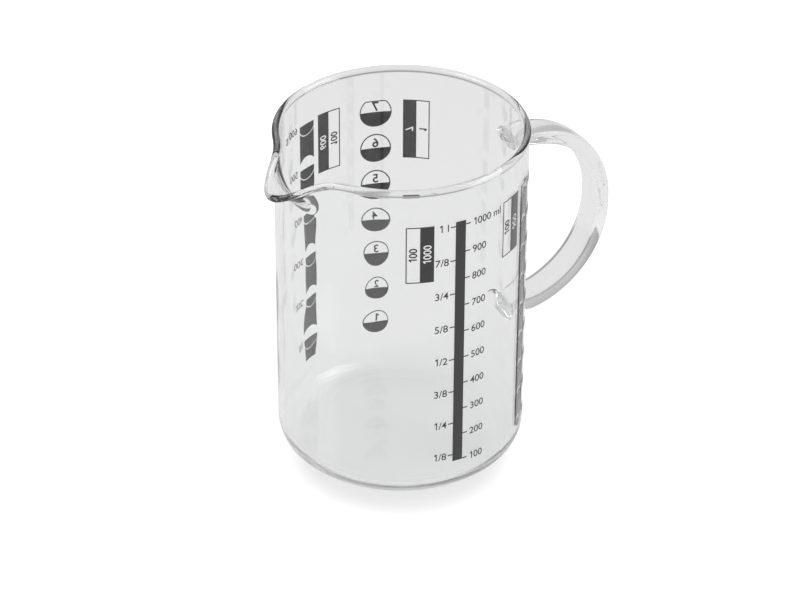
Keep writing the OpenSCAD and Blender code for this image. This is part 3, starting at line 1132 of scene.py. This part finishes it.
def make_floor():
    """A pale floor that looks white and keeps the object's shadow. Its glow is weaker near the
    object, more so on the shadow's side, which adds painted shade round the base.
    """
    bm = bmesh.new()
    bmesh.ops.create_circle(bm, cap_ends=True, segments=STAGE_SIDES, radius=STAGE_R)
    mesh = bpy.data.meshes.new("floor")
    bm.to_mesh(mesh)
    bm.free()
    floor = bpy.data.objects.new("floor", mesh)
    bpy.context.scene.collection.objects.link(floor)
    material = bpy.data.materials.new("pale_floor")
    material.use_nodes = True
    tree = material.node_tree
    tree.nodes.clear()
    matt = add_node(
        tree, "ShaderNodeBsdfDiffuse", Color=(STAGE_COLOUR, STAGE_COLOUR, STAGE_COLOUR, 1)
    )
    place = tree.nodes.new("ShaderNodeTexCoord").outputs["Object"]
    x, y, _ = separated(tree, place)
    distance = (x * x + y * y).by("SQRT")
    side = math.radians(SHADOW_SIDE)
    leaning = distance - (x * math.cos(side) + y * math.sin(side)) * SHADOW_LEAN
    rays = dict(zip(("camera", "through"), ray_terms(tree)))
    strength = 0
    # The first glow stays weak near the object, more so on the shadow's side: painted shade on top
    # of the real shadow
    for away, (kind, start, end, near, far) in (
        (leaning, PAINTED_SHADE_GLOW), (distance, BACKDROP_GLOW), (distance, GLASS_GLOW)
    ):
        fade = add_node(
            tree, "ShaderNodeMapRange", {"interpolation_type": "SMOOTHSTEP"},
            Value=away, From_Min=start, From_Max=end, To_Min=near, To_Max=far
        )
        strength = rays[kind] * fade.outputs[0] + strength
    glow = add_node(tree, "ShaderNodeEmission", Strength=strength)
    both = tree.nodes.new("ShaderNodeAddShader")
    tree.links.new(matt.outputs[0], both.inputs[0])
    tree.links.new(glow.outputs[0], both.inputs[1])
    out = tree.nodes.new("ShaderNodeOutputMaterial")
    tree.links.new(both.outputs[0], out.inputs["Surface"])
    mesh.materials.append(material)


def make_world():
    """White behind the object. Glass and gloss show a room round the white table, lighter on
    two sides than on the two between."""
    world = bpy.data.worlds.new("studio")
    bpy.context.scene.world = world
    world.use_nodes = True
    tree = world.node_tree
    tree.nodes.clear()
    x, y, height = separated(tree, tree.nodes.new("ShaderNodeTexCoord").outputs["Generated"])
    round_room = y.by("ARCTAN2", x) - math.radians(ROOM_BRIGHT)
    sides = (round_room * 2).by("COSINE") * ROOM_SWING * (1 - height.by("ABSOLUTE")) + 1
    dim = add_node(
        tree, "ShaderNodeMapRange", {"interpolation_type": "SMOOTHSTEP"},
        Value=height, From_Min=LOW, From_Max=HIGH, To_Min=HORIZON, To_Max=OVERHEAD
    )
    camera, through = ray_terms(tree)
    others = (1 - camera - through) * ROOM_LIGHT
    strength = camera + through * sides * dim.outputs[0] + others
    back = add_node(tree, "ShaderNodeBackground", Strength=strength)
    out = tree.nodes.new("ShaderNodeOutputWorld")
    tree.links.new(back.outputs[0], out.inputs["Surface"])


def add_lamp(name, place, size, power, through_glass):
    """A soft box aimed at the middle of the object, seen through glass or only mirrored in it."""
    lamp = bpy.data.lights.new(name, "AREA")
    lamp.shape = "SQUARE"
    lamp.size = size
    lamp.energy = power
    holder = bpy.data.objects.new(name, lamp)
    bpy.context.scene.collection.objects.link(holder)
    holder.location = place
    holder.visible_transmission = through_glass
    aim = LAMP_TARGET - Vector(place)
    holder.rotation_mode = "QUATERNION"
    holder.rotation_quaternion = aim.to_track_quat("-Z", "Y")


CAMERA_AZIMUTH = -120
CAMERA_RISE = 32.83
CAMERA_DISTANCE = 1.3915
CAMERA_TARGET = Vector((0, 0, 0.06575))
CAMERA_LENS = 149.66
CAMERA_SENSOR = 36
CAMERA_ROLL = 0.287
# 0.65 of a picture's 800 pixels
CAMERA_SHIFT = -0.65 / 800
# How often light may turn inside the glass: fewer makes the rim and the lip darker
BOUNCES = 40


def make_camera():
    camera = bpy.data.cameras.new("camera")
    camera.lens = CAMERA_LENS
    camera.sensor_width = CAMERA_SENSOR
    camera.shift_x = CAMERA_SHIFT
    holder = bpy.data.objects.new("camera", camera)
    bpy.context.scene.collection.objects.link(holder)
    azimuth, rise = math.radians(CAMERA_AZIMUTH), math.radians(CAMERA_RISE)
    back = Vector((
        math.cos(rise) * math.cos(azimuth), math.cos(rise) * math.sin(azimuth), math.sin(rise)
    ))
    holder.location = CAMERA_TARGET + back * CAMERA_DISTANCE
    holder.rotation_mode = "QUATERNION"
    roll = Quaternion((0, 0, 1), math.radians(CAMERA_ROLL))
    holder.rotation_quaternion = (-back).to_track_quat("-Z", "Y") @ roll
    bpy.context.scene.camera = holder


def main():
    scene = bpy.context.scene
    scene.view_settings.view_transform = "Standard"
    scene.cycles.max_bounces = BOUNCES
    scene.cycles.transmission_bounces = BOUNCES
    scene.cycles.glossy_bounces = BOUNCES
    scene.cycles.transparent_max_bounces = BOUNCES
    make_camera()
    make_floor()
    make_world()
    for name, lamp in LAMPS.items():
        add_lamp(name, *lamp)

    group = unevenness_group()
    fused = fused_group()
    body_glass = glass_material("body_glass", group, BODY_RIPPLES, fused, "Wall")
    handle_glass = glass_material("handle_glass", group, HANDLE_RIPPLES, fused, "Ends")
    enamel = enamel_material("dark_enamel", group)

    body = make_body(body_glass)
    handle = make_handle(handle_glass)
    prints, figures = make_prints(enamel)
    for piece, node in ((body, "glass_body"), (handle, "handle")):
        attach(piece, "root")
        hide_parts(node)
    for node, piece in prints.items():
        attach(piece, "root")
        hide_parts(node)
    for piece in figures:
        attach(piece, "root")


main()
